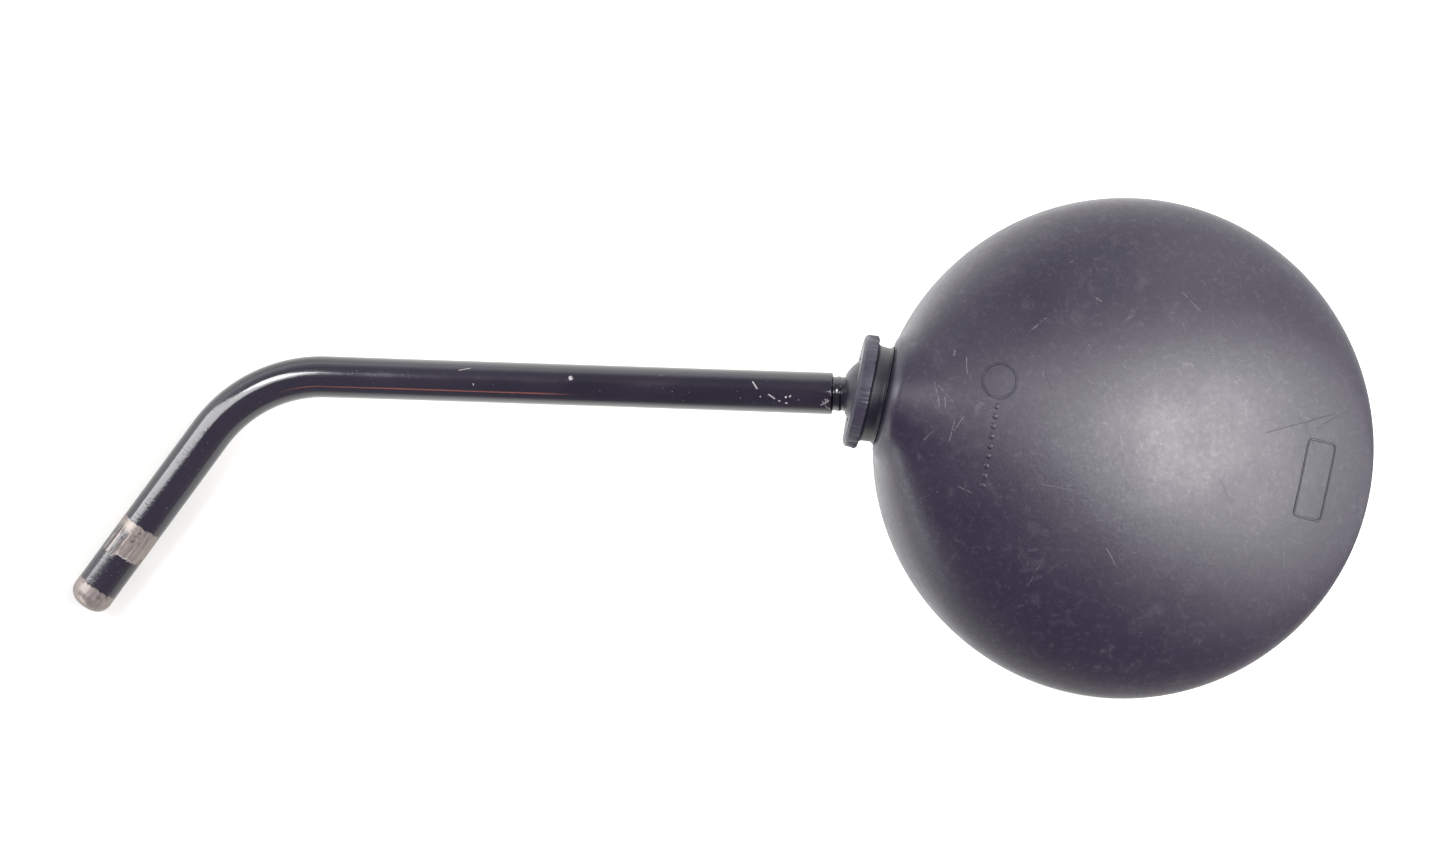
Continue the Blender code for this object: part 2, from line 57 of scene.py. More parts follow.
# Stem, as in the CAD
ROD_RADIUS = 5.15 * MM
NECK_RADIUS = 4.2 * MM
SPIGOT_RADIUS = 3.0 * MM
STEP_TO_BALL = 11.5 * MM
CORNER_TO_BALL = 154.1 * MM
LEG_LENGTH = 71.0 * MM
LEG_ANGLE = math.radians(55.3)
BEND_RADIUS = 34.5 * MM
TIP_ROUNDING = 3.6 * MM
STEP_ROUNDING = 0.4 * MM
NECK_END = -5.3 * MM
SPIGOT_END = 4.2 * MM
BEAD_END = -8.5 * MM  # where the bead of paint on the neck ends
ROD_SIDES = 96

# Head, as in the CAD
HEAD_RADIUS = 61.9 * MM
BALL_HEIGHT = 17.5 * MM
RIM_BAND = 5.0 * MM
CREST_HEIGHT = 33.7 * MM  # a little under the CAD's, so that the raised mouldings stay in its box
CREST_X = -41.0 * MM
FACE_X = -61.2 * MM
COLLAR_RADIUS = 16.1 * MM
COLLAR_END = -56.0 * MM
COLLAR_TAPER = 0.25
COLLAR_BLEND = 3.0 * MM
COLLAR_EASE = 10.0 * MM
WALL = 2.2 * MM
INNER_BAND = 4.2 * MM
LIP_THICKNESS = 1.2 * MM
LIP_RADIUS = 55.2 * MM
RIM_FILLET = 1.0 * MM
FACE_FILLET = 3.0 * MM
FILLET_STEPS = 8
LAST_STATION = math.radians(179.5)
BOSS_RADIUS = 4.0 * MM
BOSS_BOTTOM = 8.5 * MM
BOSS_BORE = 1.65 * MM
BOSS_BORE_TOP = 14.5 * MM
BOSS_PLACES = ((34.0, 0.0), (-15.0, 33.0), (-15.0, -33.0))

# Glass
GLASS_RADIUS = 57.7 * MM
GLASS_THICKNESS = 2.5 * MM
GLASS_CURVATURE = 1200.0 * MM
GLASS_LOWEST = 0.3 * MM

# Neck: radii, and distances along its axis from the ball
HOLE_RADIUS = 11.0 * MM
CAP_RADIUS = 9.7 * MM
CAP_THICKNESS = 0.8 * MM
CAP_HOLE = 4.4 * MM
CAP_EDGE = math.radians(63)
SEAT_RADIUS = 9.95 * MM
DISC_RADIUS = 13.85 * MM
DISC_FRONT = 6.5 * MM
DISC_BACK = 3.1 * MM
GROOVE_RADIUS = 11.75 * MM
FLANGE_RADIUS = 12.8 * MM
FLANGE_THICKNESS = 2.5 * MM


# ---- places, from the frame

joints = {joint["name"]: joint for joint in frame["joints"]}
ball = Vector(joints["stem_spin"]["pos_m"])
stem_axis = Vector(joints["stem_spin"]["axis"]).normalized()
floor_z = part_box("shell")[0].z
glass_low, glass_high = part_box("mirror_glass")
head_middle = Vector(((glass_low.x + glass_high.x) / 2, (glass_low.y + glass_high.y) / 2, floor_z))
head_offset = head_middle - ball
ball_to_head = math.hypot(head_offset.x, head_offset.y)
head_yaw = math.atan2(head_offset.y, head_offset.x)

stem_place = Matrix.Translation(ball) @ Matrix.Rotation(-math.atan2(stem_axis.z, stem_axis.x), 4, "Y")
turned_stem_place = stem_place @ Matrix.Rotation(-math.pi / 2, 4, "Y")
head_place = Matrix.Translation(head_middle) @ Matrix.Rotation(head_yaw, 4, "Z")
ball_in_head = Matrix.Translation((-ball_to_head, 0.0, BALL_HEIGHT))
neck_place = head_place @ ball_in_head @ Matrix.Rotation(-math.pi / 2, 4, "Y")


# ---- mesh helpers

def new_piece(name, mesh, place, material, body, slot, *nodes):
    mesh.transform(place)
    piece = bpy.data.objects.new(name, mesh)
    bpy.context.scene.collection.objects.link(piece)
    mesh.materials.clear()
    mesh.materials.append(material)
    mesh.shade_smooth()
    mesh.set_sharp_from_angle(angle=math.radians(40))
    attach(piece, body)
    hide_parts(*nodes)
    return piece


def finish_mesh(name, work):
    bmesh.ops.recalc_face_normals(work, faces=work.faces)
    mesh = bpy.data.meshes.new(name)
    work.to_mesh(mesh)
    work.free()
    return mesh


def join_rings(work, rings, closed):
    """Faces between neighbouring rings of points. A ring of one point is a pole."""
    pairs = list(zip(rings, rings[1:]))
    if closed:
        pairs.append((rings[-1], rings[0]))
    sides = max(len(ring) for ring in rings)
    for near, far in pairs:
        for i in range(sides):
            j = (i + 1) % sides
            corners = [near[i % len(near)], near[j % len(near)], far[j % len(far)], far[i % len(far)]]
            corners = list(dict.fromkeys(corners))
            if len(corners) > 2:
                work.faces.new(corners)


def lathe(name, profile, sides, closed=False, warp=None):
    """The profile, (radius, height) pairs, turned about Z. warp may move each point by its angle."""
    work = bmesh.new()
    rings = []
    for radius, height in profile:
        if radius < 0.001 * MM:
            rings.append([work.verts.new((0.0, 0.0, height))])
            continue
        ring = []
        for i in range(sides):
            angle = 2 * math.pi * i / sides
            r, z = warp(radius, height, angle) if warp else (radius, height)
            ring.append(work.verts.new((r * math.cos(angle), r * math.sin(angle), z)))
        rings.append(ring)
    join_rings(work, rings, closed)
    return finish_mesh(name, work)


def rounded(corners, steps=5):
    """Points of an open outline whose corners, (radius, height, fillet), are rounded by true arcs."""
    points = []
    for i, (radius, height, fillet) in enumerate(corners):
        here = Vector((radius, height))
        if not fillet:
            points.append(tuple(here))
            continue
        back = (Vector(corners[i - 1][:2]) - here).normalized()
        ahead = (Vector(corners[i + 1][:2]) - here).normalized()
        half = back.angle(ahead) / 2
        centre = here + (back + ahead).normalized() * fillet / math.sin(half)
        start = here + back * fillet / math.tan(half) - centre
        end = here + ahead * fillet / math.tan(half) - centre
        for k in range(steps + 1):
            spoke = start.lerp(end, k / steps).normalized() * fillet
            points.append(tuple(centre + spoke))
    return points


def arc(radius, start, end, count):
    """Points (radius, height) on a circle about the origin, by angle from the turning axis."""
    angles = [start + (end - start) * i / count for i in range(count + 1)]
    return [(radius * math.sin(a), radius * math.cos(a)) for a in angles]


def cut(mesh, cutters):
    """The mesh after Boolean cuts with closed meshes that share its axes."""
    scene = bpy.context.scene
    body = bpy.data.objects.new("cut_body", mesh)
    scene.collection.objects.link(body)
    tools = []
    for cutter in cutters:
        tool = bpy.data.objects.new("cut_tool", cutter)
        scene.collection.objects.link(tool)
        modifier = body.modifiers.new("Cut", "BOOLEAN")
        modifier.operation = "DIFFERENCE"
        modifier.object = tool
        modifier.solver = "EXACT"
        tools.append(tool)
    bpy.context.view_layer.update()
    evaluated = body.evaluated_get(bpy.context.evaluated_depsgraph_get())
    result = bpy.data.meshes.new_from_object(evaluated)
    for item in [body, *tools]:
        bpy.data.objects.remove(item, do_unlink=True)
    return result


def rod_mesh(name, x, y, radius, bottom, top, sides=32):
    mesh = lathe(name, [(0.0, bottom), (radius, bottom), (radius, top), (0.0, top)], sides)
    mesh.transform(Matrix.Translation((x, y, 0.0)))
    return mesh


# ---- material helpers

def add(tree, kind, inputs=None, **settings):
    """A shader node. inputs maps sockets to values, or to the sockets that feed them."""
    item = tree.nodes.new("ShaderNode" + kind)
    for key, value in settings.items():
        setattr(item, key, value)
    for key, value in (inputs or {}).items():
        if isinstance(value, bpy.types.NodeSocket):
            tree.links.new(value, item.inputs[key])
        else:
            item.inputs[key].default_value = value
    return item


def new_material(name, **values):
    """A Principled material. values are set on the shader's own sockets."""
    material = bpy.data.materials.new(name)
    material.use_nodes = True
    tree = material.node_tree
    shader = tree.nodes["Principled BSDF"]
    for key, value in values.items():
        shader.inputs[key.replace("_", " ")].default_value = value
    return material, tree, shader


def feed(tree, shader, **sources):
    """Links the shader's sockets to what feeds them."""
    for key, source in sources.items():
        tree.links.new(source, shader.inputs[key.replace("_", " ")])


def coordinates(tree, output="Object"):
    return add(tree, "TexCoord").outputs[output]


def stretched(tree, vector, scale):
    return add(tree, "Mapping", {"Vector": vector, "Scale": scale}).outputs["Vector"]


def noise_of(tree, vector, scale, detail=2.0, roughness=0.5, distortion=0.0):
    inputs = {
        "Vector": vector, "Scale": scale, "Detail": detail, "Roughness": roughness, "Distortion": distortion}
    return add(tree, "TexNoise", inputs).outputs["Fac"]


def span(tree, value, low, high, to_low=0.0, to_high=1.0):
    """Maps low..high to to_low..to_high, smoothly and clamped."""
    inputs = {"Value": value, "From Min": low, "From Max": high, "To Min": to_low, "To Max": to_high}
    return add(tree, "MapRange", inputs, interpolation_type="SMOOTHSTEP").outputs["Result"]


def maths(tree, operation, a, b=0.0, c=0.0):
    return add(tree, "Math", {0: a, 1: b, 2: c}, operation=operation).outputs[0]


def times(tree, first, *others):
    """The product of two or more values."""
    for other in others:
        first = maths(tree, "MULTIPLY", first, other)
    return first


def most(tree, first, *others):
    """The largest of two or more values."""
    for other in others:
        first = maths(tree, "MAXIMUM", first, other)
    return first


def opposite(tree, value):
    return maths(tree, "SUBTRACT", 1.0, value)


def vector_maths(tree, operation, a, b=(0.0, 0.0, 0.0), output="Vector"):
    return add(tree, "VectorMath", {0: a, 1: b}, operation=operation).outputs[output]


def scaled(tree, vector, factor):
    return add(tree, "VectorMath", {0: vector, "Scale": factor}, operation="SCALE").outputs["Vector"]


def blend_colour(tree, factor, a, b):
    item = add(tree, "Mix", data_type="RGBA")
    for socket, value in ((item.inputs[0], factor), (item.inputs[6], a), (item.inputs[7], b)):
        if isinstance(value, bpy.types.NodeSocket):
            tree.links.new(value, socket)
        elif isinstance(value, tuple):
            socket.default_value = (*value, 1.0)
        else:
            socket.default_value = value
    return item.outputs[2]


def tinted(tree, colour, share, tint, strength=1.0):
    """The colour moved towards a tint by share, 0..1, times strength."""
    if strength != 1.0:
        share = times(tree, share, strength)
    return blend_colour(tree, share, colour, tint)


def bumped(tree, height, depth, normal=None):
    """A bump whose height of 0..1 stands for a depth in metres."""
    inputs = {"Height": height, "Distance": depth, "Strength": 1.0}
    if normal:
        inputs["Normal"] = normal
    return add(tree, "Bump", inputs).outputs["Normal"]


def scratch(tree, vector, start, end, width):
    """1 on a straight line between two points, fading to 0 at half its width."""
    start, end = Vector(start), Vector(end)
    along = end - start
    offset = vector_maths(tree, "SUBTRACT", vector, tuple(start))
    share = vector_maths(tree, "DOT_PRODUCT", offset, tuple(along / along.length_squared), "Value")
    share = add(tree, "Clamp", {0: share}).outputs[0]
    distance = vector_maths(tree, "DISTANCE", offset, scaled(tree, tuple(along), share), "Value")
    return span(tree, distance, width / 2, 0.0)


def spot(tree, vector, centre, size):
    """1 inside an ellipsoid about centre, fading to 0 at its edge. size is its three half axes."""
    offset = vector_maths(tree, "SUBTRACT", vector, tuple(centre))
    share = vector_maths(tree, "DIVIDE", offset, tuple(size))
    return span(tree, vector_maths(tree, "LENGTH", share, output="Value"), 1.0, 0.6)


# ---- the stem

# (distance from the ball, swelling of the radius) along the bead of paint on the neck, in mm
PAINT_BEAD = (
    (-10.6, 0.0), (-10.3, 0.10), (-10.0, 0.13), (-9.7, 0.08), (-9.4, -0.05), (-9.1, -0.08), (-8.8, 0.02))


def stem_stations():
    """(place, direction, radius, distance from the tip) along the centre line, from tip to spigot."""
    along = Vector((-math.cos(LEG_ANGLE), -math.sin(LEG_ANGLE), 0.0))
    corner = Vector((-CORNER_TO_BALL, 0.0, 0.0))
    tip = corner + along * LEG_LENGTH
    tangent = BEND_RADIUS * math.tan(LEG_ANGLE / 2)
    centre = corner + Vector((tangent, -BEND_RADIUS, 0.0))
    leg_run = LEG_LENGTH - tangent
    stations = []

    def on_leg(distance, radius):
        stations.append((tip - along * distance, -along, radius, distance))

    flat = ROD_RADIUS - TIP_ROUNDING
    on_leg(0.25 * MM, 0.3 * MM)
    on_leg(0.22 * MM, flat - 0.35 * MM)
    on_leg(0.0, flat)
    for i in range(1, 13):
        turn = math.pi / 2 * i / 12
        on_leg(TIP_ROUNDING * (1.0 - math.cos(turn)), flat + TIP_ROUNDING * math.sin(turn))
    for i in range(1, 21):
        on_leg(TIP_ROUNDING + (leg_run - TIP_ROUNDING) * i / 21, ROD_RADIUS)
    for i in range(41):
        turn = LEG_ANGLE * (1.0 - i / 40)
        spoke = Vector((-math.sin(turn), math.cos(turn), 0.0))
        direction = Vector((math.cos(turn), math.sin(turn), 0.0))
        walked = leg_run + BEND_RADIUS * (LEG_ANGLE - turn)
        stations.append((centre + spoke * BEND_RADIUS, direction, ROD_RADIUS, walked))
    straight_start = tangent - CORNER_TO_BALL
    bend_end = leg_run + BEND_RADIUS * LEG_ANGLE

    def on_straight(x, radius):
        walked = bend_end + x - straight_start
        stations.append((Vector((x, 0.0, 0.0)), Vector((1.0, 0.0, 0.0)), radius, walked))

    step = -STEP_TO_BALL
    for i in range(1, 41):
        on_straight(straight_start + (step - STEP_ROUNDING - straight_start) * i / 40, ROD_RADIUS)
    for i in range(1, 5):
        turn = math.pi / 2 * i / 4
        x = step - STEP_ROUNDING * (1.0 - math.sin(turn))
        on_straight(x, ROD_RADIUS - STEP_ROUNDING * (1.0 - math.cos(turn)))
    on_straight(step + 0.02 * MM, NECK_RADIUS + 0.25 * MM)
    on_straight(step + 0.1 * MM, NECK_RADIUS + 0.08 * MM)
    on_straight(step + 0.3 * MM, NECK_RADIUS)
    for x, swell in PAINT_BEAD:
        on_straight(x * MM, NECK_RADIUS + swell * MM)
    for i in range(5):
        on_straight(BEAD_END + (NECK_END - BEAD_END) * i / 4, NECK_RADIUS)
    on_straight(NECK_END + 0.02 * MM, SPIGOT_RADIUS)
    on_straight(SPIGOT_END, SPIGOT_RADIUS)
    return stations


def stem_mesh():
    """The bent rod. Its "rod" attribute is each point's place on the rod if it were straightened:
    across the bend's plane, up, and along from the tip."""
    work = bmesh.new()
    rod = work.verts.layers.float_vector.new("rod")
    up = Vector((0.0, 0.0, 1.0))
    rings = []
    for place, direction, radius, along in stem_stations():
        side = up.cross(direction)
        ring = []
        for i in range(ROD_SIDES):
            angle = 2 * math.pi * i / ROD_SIDES
            across, rise = radius * math.cos(angle), radius * math.sin(angle)
            point = work.verts.new(place + side * across + up * rise)
            point[rod] = Vector((across, rise, along))
            ring.append(point)
        rings.append(ring)
    join_rings(work, rings, False)
    work.faces.new(rings[0])
    work.faces.new(rings[-1])
    return finish_mesh("stem", work)


TOTAL_LENGTH = stem_stations()[-1][3] - SPIGOT_END  # from the tip to the ball's centre


# Chips in the paint: (distance from the ball, side, half axes), in mm
STEM_CHIPS = (
    (74.9, 0.33, (0.75, 0.75, 0.65)),
    (67.6, -0.20, (0.24, 0.24, 0.32)),
    (49.9, -0.10, (0.28, 0.28, 0.48)),
    (51.4, -0.12, (0.24, 0.24, 0.24)),
    (98.6, -0.08, (0.45, 0.45, 0.24)),
    (28.6, -0.22, (0.26, 0.26, 0.34)),
    (25.2, -0.05, (0.24, 0.24, 0.30)),
    (22.4, -0.20, (0.36, 0.36, 0.42)),
    (21.4, -0.16, (0.34, 0.34, 0.36)),
    (22.2, -0.48, (0.26, 0.26, 0.42)),
    (24.0, -0.38, (0.30, 0.30, 0.45)),
    (19.4, -0.30, (0.22, 0.22, 0.26)),
    (33.4, -0.30, (0.22, 0.22, 0.26)),
)
# Nicks: (distance from the ball, side) at both ends, and width, in mm
STEM_NICKS = (
    ((102.6, 0.50), (99.9, 0.62), 0.34),
    ((30.8, 0.40), (29.7, 0.10), 0.50),
    ((26.8, -0.16), (25.4, -0.34), 0.50),
    ((14.1, -0.58), (12.3, -0.36), 0.46),
    ((12.7, -0.30), (12.1, -0.78), 0.50),
    ((13.8, -0.40), (12.6, -0.72), 0.36),
    ((13.2, -0.28), (13.0, -0.52), 0.30),
)


def on_rod(from_ball, side):
    """A place on top of the straight part, in rod coordinates: side runs from -1 to 1 across the rod."""
    height = math.sqrt(1.0 - side * side) * ROD_RADIUS
    return (side * ROD_RADIUS, height, TOTAL_LENGTH - from_ball * MM)


def bare_steel(tree, rod, across, edge):
    """1 on the bare tip and on the bare band behind it, which is streaked on the bend's outer side."""
    tip = span(tree, edge, 6.1 * MM, 5.8 * MM)
    streaks = noise_of(tree, stretched(tree, rod, (1.0, 1.0, 0.06)), 1500.0, 3.0, 0.7)
    outer = span(tree, across, -0.15 * ROD_RADIUS, 0.35 * ROD_RADIUS)
    lower = maths(tree, "MULTIPLY_ADD", outer, 1.2 * MM, edge)
    band = times(tree, span(tree, lower, 15.9 * MM, 16.3 * MM), span(tree, edge, 24.9 * MM, 24.6 * MM))
    streaked = span(tree, streaks, 0.40, 0.50)
    paint_left = times(tree, outer, streaked, span(tree, edge, 23.6 * MM, 21.0 * MM))
    return most(tree, tip, times(tree, band, opposite(tree, paint_left)))


def paint_damage(tree, rod):
    """1 on the chips along the straight part, and on the fresh nicks by the step."""
    shaken = noise_of(tree, rod, 1800.0, 3.0, 0.6)
    loose = vector_maths(tree, "ADD", rod, scaled(tree, (0.5 * MM, 0.5 * MM, 0.5 * MM), shaken))
    chips = [
        spot(tree, loose, on_rod(from_ball, side), [half_axis * MM for half_axis in half_axes])
        for from_ball, side, half_axes in STEM_CHIPS]
    nicks = [scratch(tree, rod, on_rod(*a), on_rod(*b), width * MM) for a, b, width in STEM_NICKS]
    return most(tree, *chips, *nicks)


def painted_warm_reflection(tree, rod, drawn):
    """1 on a thin broken line along the rod, just after the bend, where a warm reflection is painted."""
    axes = add(tree, "SeparateXYZ", {0: rod}).outputs
    off_line = maths(tree, "ABSOLUTE", maths(tree, "ADD", axes["X"], 0.47 * ROD_RADIUS))
    line = times(tree, span(tree, off_line, 0.22 * MM, 0.08 * MM), span(tree, drawn, 0.42, 0.55))
    starts = span(tree, axes["Z"], 72.0 * MM, 84.0 * MM)
    stops = span(tree, axes["Z"], 150.0 * MM, 138.0 * MM)
    upper = span(tree, axes["Y"], 0.0, 0.5 * ROD_RADIUS)
    return times(tree, line, times(tree, starts, stops), upper)


def fine_cracks(tree, rod, along, ragged):
    """0 in the cracks of the paint on the leg, 1 elsewhere."""
    inputs = {"Vector": stretched(tree, rod, (0.5, 0.5, 1.0)), "Scale": 900.0}
    cells = add(tree, "TexVoronoi", inputs, feature="DISTANCE_TO_EDGE")
    cracked = opposite(tree, span(tree, cells.outputs["Distance"], 0.0, 0.12))
    on_leg = times(tree, span(tree, along, 72.0 * MM, 52.0 * MM), span(tree, ragged, 0.40, 0.60))
    return opposite(tree, times(tree, cracked, on_leg))


def stem_paint():
    material, tree, shader = new_material("black_stem_paint", Coat_Weight=0.2, Coat_Roughness=0.05)
    rod = add(tree, "Attribute", attribute_name="rod").outputs["Vector"]
    axes = add(tree, "SeparateXYZ", {0: rod}).outputs
    along = axes["Z"]
    ragged = noise_of(tree, stretched(tree, rod, (1.0, 1.0, 0.5)), 900.0, 4.0, 0.6)
    edge = maths(tree, "ADD", along, maths(tree, "MULTIPLY_ADD", ragged, 1.6 * MM, -0.8 * MM))
    cloud = noise_of(tree, stretched(tree, rod, (1.0, 1.0, 0.35)), 160.0, 3.0, 0.6)
    brushed = noise_of(tree, stretched(tree, rod, (1.0, 1.0, 0.12)), 1900.0, 3.0, 0.6)
    drawn = noise_of(tree, stretched(tree, rod, (1.0, 1.0, 0.01)), 2200.0, 2.0, 0.5)

    flecks = noise_of(tree, stretched(tree, rod, (1.0, 1.0, 0.3)), 2600.0, 4.0, 0.65)
    flecks = times(tree, span(tree, flecks, 0.66, 0.72), span(tree, edge, 30.0 * MM, 4.0 * MM))
    bare = most(tree, bare_steel(tree, rod, axes["X"], edge), flecks)
    chipped = paint_damage(tree, rod)
    metal = most(tree, bare, chipped)

    paint = blend_colour(tree, cloud, (0.001, 0.0008, 0.0025), (0.011, 0.009, 0.016))
    paint = tinted(tree, paint, span(tree, along, 155.0 * MM, 105.0 * MM), (0.014, 0.0125, 0.018), 0.5)
    dust = span(tree, noise_of(tree, rod, 1500.0, 2.0, 0.5), 0.7, 0.76)
    paint = tinted(tree, paint, dust, (0.35, 0.34, 0.36), 0.12)
    # painted reflection: a thin orange line along the rod's lower side, standing in for a warm thing
    # mirrored in the paint
    paint = tinted(tree, paint, painted_warm_reflection(tree, rod, drawn), (0.16, 0.055, 0.035), 0.7)
    steel = blend_colour(tree, brushed, (0.12, 0.10, 0.085), (0.33, 0.295, 0.27))
    rust = span(tree, noise_of(tree, rod, 520.0, 5.0, 0.7), 0.54, 0.68)
    steel = tinted(tree, steel, rust, (0.085, 0.050, 0.036), 0.75)
    coated = blend_colour(tree, bare, paint, steel)
    coated = tinted(tree, coated, chipped, (0.25, 0.24, 0.24))
    metallic = times(tree, bare, 0.75)
    coat = span(tree, metal, 0.0, 1.0, 0.2, 0.0)
    paint_roughness = span(tree, cloud, 0.3, 0.75, 0.10, 0.18)
    steel_roughness = span(tree, brushed, 0.2, 0.8, 0.34, 0.52)
    roughness = add(tree, "Mix", {0: metal, 2: paint_roughness, 3: steel_roughness}).outputs[0]

    normal = bumped(tree, noise_of(tree, rod, 420.0, 2.0, 0.5), 0.012 * MM)
    normal = bumped(tree, drawn, 0.010 * MM, normal)
    normal = bumped(tree, fine_cracks(tree, rod, along, ragged), 0.008 * MM, normal)
    normal = bumped(tree, opposite(tree, metal), 0.10 * MM, normal)
    feed(tree, shader, Base_Color=coated, Metallic=metallic, Roughness=roughness)
    feed(tree, shader, Coat_Weight=coat, Normal=normal, Coat_Normal=normal)
    return material


def make_stem():
    paint = stem_paint()
    return new_piece("bent_stem", stem_mesh(), stem_place, paint, "stem", "stem_paint", "stem_rod")


# ---- the neck: dust cap and grommet

def rubber(name, dark, light, roughness):
    """Chalky rubber, darkened by painted shade in the grommet's groove, behind its disc."""
    material, tree, shader = new_material(name, Specular_IOR_Level=0.4)
    place = coordinates(tree)
    cloud = noise_of(tree, place, 300.0, 4.0, 0.6)
    grain = noise_of(tree, place, 3000.0, 3.0, 0.6)
    chalk = span(tree, noise_of(tree, place, 900.0, 5.0, 0.7), 0.56, 0.72)
    worn = span(tree, add(tree, "NewGeometry").outputs["Pointiness"], 0.53, 0.60)
    pale = (0.065, 0.062, 0.075)
    colour = blend_colour(tree, cloud, dark, light)
    colour = tinted(tree, colour, chalk, pale, 0.25)
    colour = tinted(tree, colour, worn, pale, 0.2)
    from_ball = vector_maths(tree, "SUBTRACT", place, tuple(ball))
    out_of_neck = (-math.cos(head_yaw), -math.sin(head_yaw), 0.0)
    forward = vector_maths(tree, "DOT_PRODUCT", from_ball, out_of_neck, "Value")
    # painted shade: the rubber is darkened in the groove behind the disc, where shade falls
    groove = span(tree, forward, DISC_BACK + 0.1 * MM, DISC_BACK - 0.3 * MM)
    colour = tinted(tree, colour, groove, (0.002, 0.0015, 0.006), 0.85)
    uneven = span(tree, cloud, 0.3, 0.7, roughness - 0.06, roughness + 0.08)
    normal = bumped(tree, cloud, 0.06 * MM)
    normal = bumped(tree, grain, 0.015 * MM, normal)
    feed(tree, shader, Base_Color=colour, Roughness=uneven, Normal=normal)
    return material


def make_dust_cap():
    inner = CAP_RADIUS - CAP_THICKNESS
    outside = arc(CAP_RADIUS, math.asin((CAP_HOLE + 0.35 * MM) / CAP_RADIUS), CAP_EDGE, 24)
    mouth_top = outside[0][1] - 0.1 * MM
    mouth = [
        (CAP_HOLE + 0.05 * MM, mouth_top - 0.05 * MM),
        (CAP_HOLE + 0.18 * MM, mouth_top + 0.06 * MM)]
    inside = arc(inner, CAP_EDGE, math.asin(CAP_HOLE / inner), 16)
    mesh = lathe("dust_cap_dome", mouth + outside + inside, 96, closed=True)
    material = rubber("cap_rubber", (0.008, 0.0065, 0.012), (0.018, 0.0155, 0.024), 0.32)
    return new_piece(
        "dust_cap_dome", mesh, turned_stem_place, material, "cap", "cap_rubber", "dust_cap")


def with_flash(radius, height, angle):
    """Moulding flash and nicks on the outer edges of the grommet's disc and at the foot of its groove."""
    slow = noise.noise(Vector((3 * math.cos(angle), 3 * math.sin(angle), height / (4 * MM))))
    fast = noise.noise(Vector((31 * math.cos(angle), 31 * math.sin(angle), height / (0.7 * MM))))
    out = max(0.0, (radius - DISC_RADIUS + 0.7 * MM) / (0.7 * MM))
    torn = max(0.0, abs(math.sin(angle)) - 0.75) / 0.25
    back = (1.0 + 1.5 * torn) * max(0.0, 1.0 - abs(height - DISC_BACK) / (0.8 * MM))
    radius += out * (0.10 * slow + (0.06 + 0.34 * back) * fast) * MM
    height += out * (0.10 + 0.25 * back) * fast * MM
    low = max(0.0, 1.0 - abs(height + 1.0 * MM) / (0.7 * MM))
    foot = low * max(0.0, (radius - GROOVE_RADIUS) / (0.6 * MM))
    return radius + foot * 0.35 * max(fast, 0.0) * MM, height


def make_grommet():
    """Its profile runs from the disc's front down the outside, along the groove, through the hole, and
    back up inside."""
    face = FACE_X + ball_to_head
    flange_front = -face - WALL - 0.15 * MM
    flange_back = flange_front - FLANGE_THICKNESS
    flange_bore = 9.75 * MM
    in_hole = HOLE_RADIUS - 0.2 * MM
    seat_top = DISC_FRONT - 0.5 * MM
    seat_bottom = 1.95 * MM
    seat_mouth = math.sqrt(SEAT_RADIUS ** 2 - seat_top ** 2)
    outside = rounded([
        (seat_mouth, DISC_FRONT, 0.0),
        (DISC_RADIUS - 0.75 * MM, DISC_FRONT, 0.25 * MM),
        (DISC_RADIUS, DISC_FRONT - 0.7 * MM, 0.25 * MM),
        (DISC_RADIUS, DISC_BACK, 0.35 * MM),
        (GROOVE_RADIUS + 0.1 * MM, DISC_BACK - 0.15 * MM, 1.1 * MM),
        (GROOVE_RADIUS - 0.15 * MM, 0.9 * MM - face, 0.6 * MM),
        (GROOVE_RADIUS + 0.55 * MM, 0.12 * MM - face, 0.12 * MM),
        (in_hole, 0.1 * MM - face, 0.05 * MM),
        (in_hole, flange_front, 0.05 * MM),
        (FLANGE_RADIUS, flange_front, 0.3 * MM),
        (FLANGE_RADIUS, flange_back, 0.4 * MM),
        (flange_bore, flange_back, 0.2 * MM),
        (flange_bore, 1.9 * MM, 0.0),
    ])
    inside = arc(SEAT_RADIUS, math.acos(seat_bottom / SEAT_RADIUS), math.acos(seat_top / SEAT_RADIUS), 12)
    mesh = lathe("neck_grommet_rubber", outside + inside, 360, closed=True, warp=with_flash)
    material = rubber("grommet_rubber", (0.012, 0.010, 0.019), (0.024, 0.021, 0.034), 0.42)
    return new_piece(
        "neck_grommet_rubber", mesh, neck_place, material, "head", "grommet_rubber", "neck_grommet")


# ---- the shell

def crest(x):
    along = (x - CREST_X) / (HEAD_RADIUS - CREST_X)
    return RIM_BAND + (CREST_HEIGHT - RIM_BAND) * (1.0 - along * along)


def smooth_max(a, b, blend):
    reach = max(blend - abs(a - b), 0.0) / blend
    return max(a, b) + blend * reach * reach / 4.0


def with_collar(point, x, inset):
    y, z = point
    rise = z - BALL_HEIGHT
    distance = math.hypot(y, rise)
    collar = COLLAR_RADIUS - inset - COLLAR_TAPER * smooth_max(x - COLLAR_END, 0.0, COLLAR_EASE)
    wanted = smooth_max(distance, collar, COLLAR_BLEND)
    return (y * wanted / distance, BALL_HEIGHT + rise * wanted / distance)


def skin_height(x, y):
    """Height of the shell's back over a place on the plane of the rim."""
    spread = (HEAD_RADIUS ** 2 - x * x - y * y) / (HEAD_RADIUS ** 2 - x * x)
    return RIM_BAND + (crest(x) - RIM_BAND) * math.sqrt(max(spread, 0.0))


